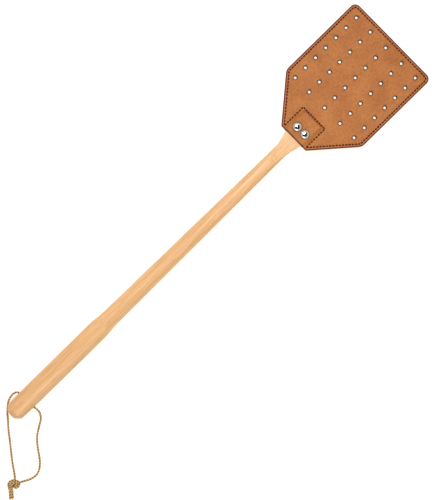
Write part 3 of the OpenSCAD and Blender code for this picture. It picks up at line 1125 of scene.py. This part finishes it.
def oneStitch():
    # a short thread, arched from hole to hole
    s = threadShape
    stitch = rod(s["diameter"] / 2, s["length"], 0, 0, 0, 7, (0, math.radians(90), 0))
    editAll(stitch)
    for k in range(1, 6):
        bisectAll(((k / 6 - 0.5) * s["length"] * mm, 0, 0), (1, 0, 0))
    objectMode()
    for vertex in stitch.data.vertices:
        t = vertex.co.x / (s["length"] / 2 * mm)
        vertex.co.z += (s["lie"] - s["dip"] * t ** 4) * mm
        vertex.co.y *= 1 - 0.25 * t * t
    stitch.data.update()
    smoothBy(stitch, 60)
    return nameIt(stitch, "stitch")


def threadMaterial():
    # waxed twisted polyester, dark oxblood, with a low shine
    material, tree, shader = newMaterial("waxedSewingThread")
    place = addNode(tree, "ShaderNodeTexCoord")
    twist = noiseAt(tree, (place, "Object"), 1 / (0.5 * mm), 3.0)
    colour = ramp(tree, (twist, "Fac"), (0.3, "#260402"), (0.75, "#5A1408"))
    bump = bumpFrom(tree, (twist, "Fac"), 0.4, 0.06)
    wire(tree, shader, {"Roughness": 0.7, "Specular IOR Level": 0.2},
         {"Base Color": (colour, "Color"), "Normal": (bump, 0)})
    return material


def stitchPlaces():
    # middle and direction of each stitch, evenly spaced along each run of the seam
    found = []
    for run in seamRuns:
        points = np.array(run, float)
        walked = np.concatenate([[0], np.cumsum(np.linalg.norm(np.diff(points, axis=0), axis=1))])
        count = max(1, round(walked[-1] / threadShape["pitch"]))
        for k in range(count):
            middle = (k + 0.5) * walked[-1] / count
            spots = [np.array([np.interp(middle + d, walked, points[:, a]) for a in (0, 1)])
                     for d in (-0.4, 0, 0.4)]
            direction = spots[2] - spots[0]
            found.append((spots[1][0], spots[1][1], math.atan2(direction[1], direction[0])))
    return found


def makeThread():
    stitch = oneStitch()
    material = threadMaterial()
    stitch.data.materials.append(material)
    places = stitchPlaces()
    for label, cadName, side in (("topThread", "front_thread", 1), ("bottomThread", "back_thread", -1)):
        for zone in zoneList():
            xFrom = -1e9 if zone[1] is None else zone[1]
            xTo = 1e9 if zone[2] is None else zone[2]
            made = []
            for x, y, turn in places:
                if xFrom <= neckX + x < xTo:
                    one = copyOf(stitch, "stitchCopy")
                    height = leatherT + pocketRise(x, y)
                    one.location = ((neckX + x) * mm, y * mm, (midZ + side * height) * mm)
                    one.rotation_euler = (0 if side > 0 else math.pi, 0, turn)
                    made.append(one)
            piece = joinAll(made, label + zone[0])
            settle(piece)
            followZone(piece, zone, cadName)
    bpy.data.objects.remove(stitch)
    print("seam sewn,", len(places), "stitches a side")


makeThread()


# double-cap rivets

rivetShape = {
    "postD": 3.0,               # mm
    "rim": 0.45,                # mm, height of the rolled rim
    "rimRoll": 0.22,
    "postSeat": 1.1,            # mm of the post inside the cap
}


def nickelMaterial():
    # brass, nickel plated and polished: a bright warm grey mirror with faint handling marks
    material, tree, shader = newMaterial("polishedNickelPlate")
    place = addNode(tree, "ShaderNodeTexCoord")
    marks = noiseAt(tree, (place, "Object"), 1 / (1.3 * mm), 4.0)
    gloss = remap(tree, (marks, "Fac"), 0.35, 0.7, 0.04, 0.12)
    bump = bumpFrom(tree, (marks, "Fac"), 0.12, 0.05)
    wire(tree, shader, {"Metallic": 1.0, "Base Color": linear("#E9E6DF")},
         {"Roughness": (gloss, 0), "Normal": (bump, 0)})
    return material


def capOutline():
    # radius and height of a domed cap with a rolled rim
    s = rivetShape
    r = capD / 2
    points = [(r - 0.55, 0.0), (r - 0.2, 0.02), (r - 0.03, s["rimRoll"]), (r, s["rim"] * 0.75),
              (r - 0.06, s["rim"] + 0.12), (r - 0.25, s["rim"] + 0.3)]
    start, rise = points[-1][0], capH - points[-1][1]
    for k in range(1, 12):
        t = k / 11
        points.append((start * math.cos(math.radians(90 * t)) if k < 11 else 0.05,
                       points[5][1] + rise * math.sin(math.radians(90 * t)) ** 0.92))
    return points


def makeRivets():
    s = rivetShape
    material = nickelMaterial()
    for side, label in ((1, "left"), (-1, "right")):
        y = side * rivetY
        cap = turned(capOutline(), 48)
        cap.location = (rivetX * mm, y * mm, capBase * mm)
        settle(cap)
        combine(cap, rod(s["postD"] / 2 + 0.05, 2 * s["postSeat"] + 0.1, rivetX, y, capBase))
        facesOut(cap)
        nameIt(cap, "rivetCap" + label.capitalize())

        head = turned(capOutline(), 48)
        for vertex in head.data.vertices:
            vertex.co.z = -vertex.co.z
        head.location = (rivetX * mm, y * mm, (2 * midZ - capBase) * mm)
        settle(head)
        facesOut(head)
        low = 2 * midZ - capBase - s["rim"]
        high = capBase + s["postSeat"]
        combine(head, rod(s["postD"] / 2, high - low, rivetX, y, (high + low) / 2), "UNION")
        facesOut(head)
        nameIt(head, "rivetPost" + label.capitalize())
        for piece, node in ((cap, "rivet_cap_" + label), (head, "rivet_post_" + label)):
            smoothBy(piece, 35)
            piece.data.materials.append(material)
            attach(piece, "handle")
            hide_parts(node)
    print("rivets set")


makeRivets()
